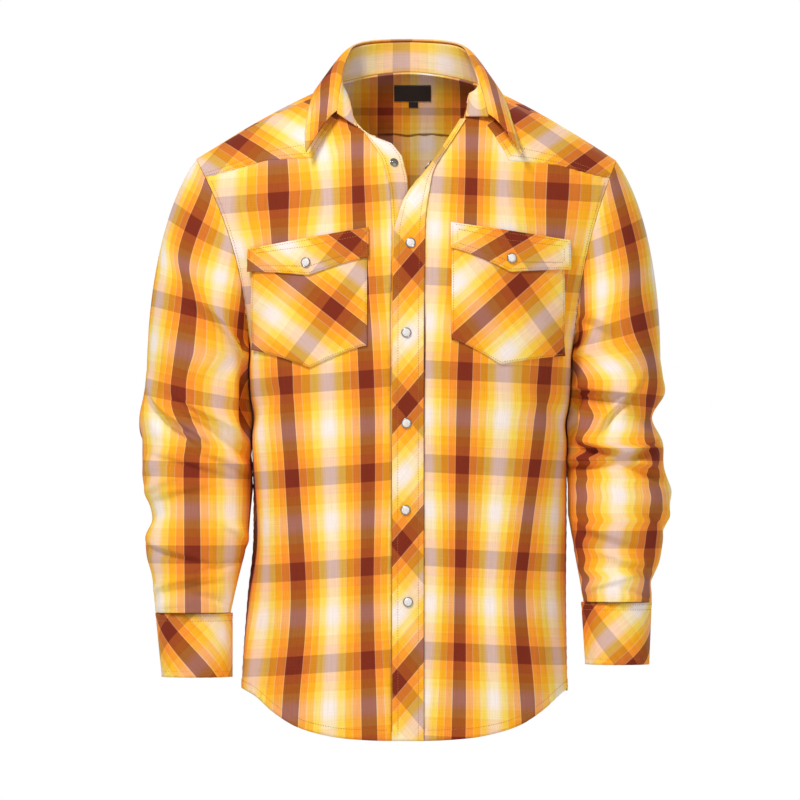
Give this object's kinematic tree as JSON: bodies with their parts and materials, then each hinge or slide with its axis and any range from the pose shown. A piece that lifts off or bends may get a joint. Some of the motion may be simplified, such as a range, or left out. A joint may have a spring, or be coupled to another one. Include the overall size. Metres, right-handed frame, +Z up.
{
  "type": "western snap shirt",
  "caption": "Men's long-sleeved western snap shirt in the hollow form it has when worn, neck open, pointed yokes, flapped chest pockets and a shirt-tail hem.",
  "frame": {"origin": "midway between the two points where the shoulders meet the neck, where the wearer's shoulders carry the shirt", "axes": "+Z up, the front faces -Y, +X is the wearer's left"},
  "size_m": [0.6294, 0.2487, 0.8302],
  "materials": {
    "check_cloth": "matt woven cotton check",
    "bias_check_cloth": "matt woven cotton check cut on the bias",
    "pearl_snap": "glossy pearl in a metal rim",
    "snap_metal": "plated",
    "label_cloth": "woven satin, bare"
  },
  "bodies": {
    "root": {"front_right": "check_cloth", "front_left": "check_cloth", "front_yoke_right": "bias_check_cloth", "front_yoke_left": "bias_check_cloth", "back": "check_cloth", "back_yoke": "check_cloth", "sleeve_right": "check_cloth", "sleeve_left": "check_cloth", "sleeve_placket_right": "check_cloth", "sleeve_placket_left": "check_cloth", "cuff_right": "bias_check_cloth", "cuff_left": "bias_check_cloth", "collar_stand": "check_cloth", "collar_leaf": "check_cloth", "placket_top": "bias_check_cloth", "placket_under": "check_cloth", "pocket_right": "bias_check_cloth", "pocket_left": "bias_check_cloth", "pocket_flap_right": "bias_check_cloth", "pocket_flap_left": "bias_check_cloth", "snap_front_1": "pearl_snap", "snap_front_2": "pearl_snap", "snap_front_3": "pearl_snap", "snap_front_4": "pearl_snap", "snap_front_5": "pearl_snap", "snap_open": "pearl_snap", "snap_pocket_right": "pearl_snap", "snap_pocket_left": "pearl_snap", "snap_cuff_right_1": "pearl_snap", "snap_cuff_right_2": "pearl_snap", "snap_cuff_left_1": "pearl_snap", "snap_cuff_left_2": "pearl_snap", "stud_front": "snap_metal", "label": "label_cloth", "label_tab": "label_cloth"}
  },
  "joints": []
}
